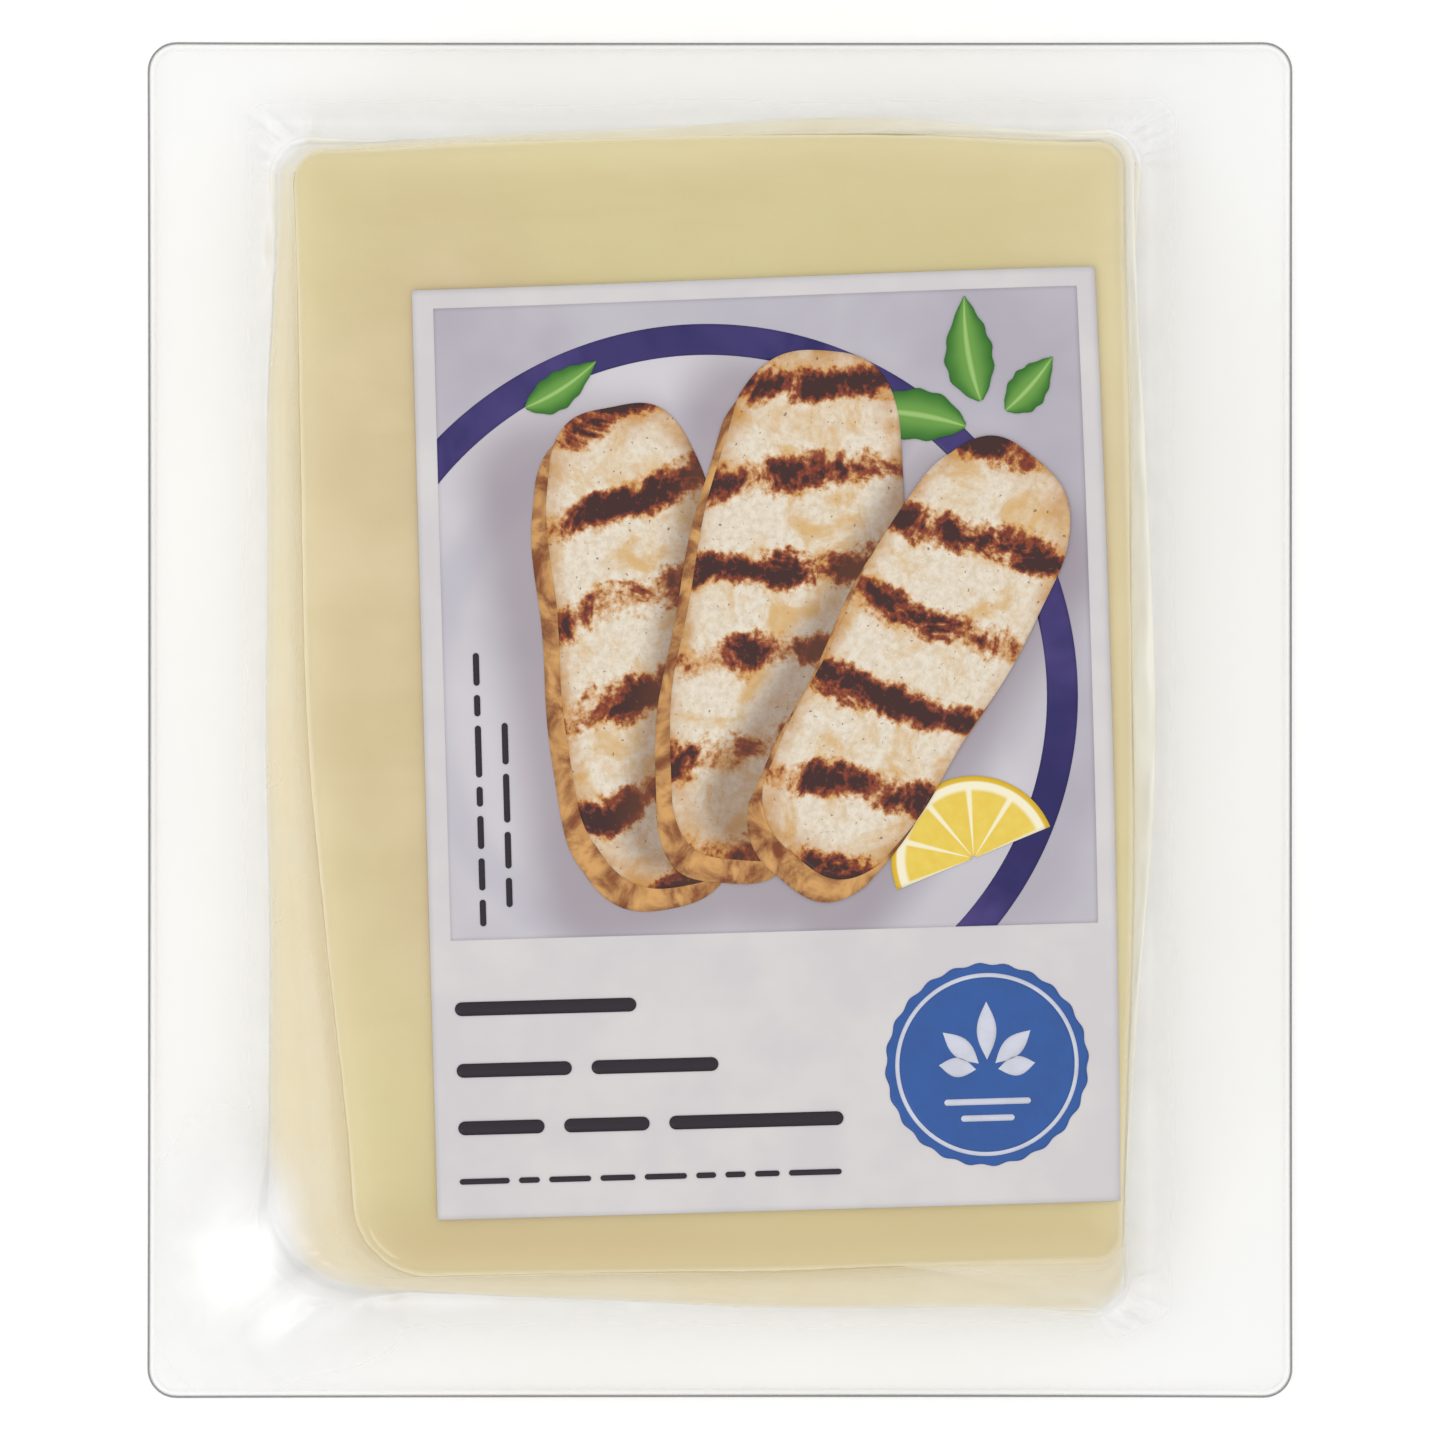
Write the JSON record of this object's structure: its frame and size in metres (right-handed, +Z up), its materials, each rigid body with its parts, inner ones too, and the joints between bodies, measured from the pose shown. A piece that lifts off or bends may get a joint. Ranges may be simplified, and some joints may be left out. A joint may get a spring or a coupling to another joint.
{
  "type": "halloumi block in a clear vacuum pack",
  "caption": "Folded slab of pale halloumi in a clear vacuum pack with a wide flat welded margin and a plain-worded paper label on its face.",
  "frame": {"origin": "middle of the pack's outline, on the flat base that it lies on", "axes": "+X across the pack to the right of the label, +Y along it towards the label's top, +Z up out of the label"},
  "size_m": [0.114, 0.135, 0.0276],
  "materials": {
    "cheese": "moist pale yellow curd, satin, slightly mottled",
    "film": "clear glossy plastic film, two layers welded",
    "label": "satin white paper with a printed picture panel, plain bars for words and a round blue seal"
  },
  "bodies": {
    "root": {"halloumi_block": "cheese", "film_margin": "film", "front_label": "label"}
  },
  "joints": []
}
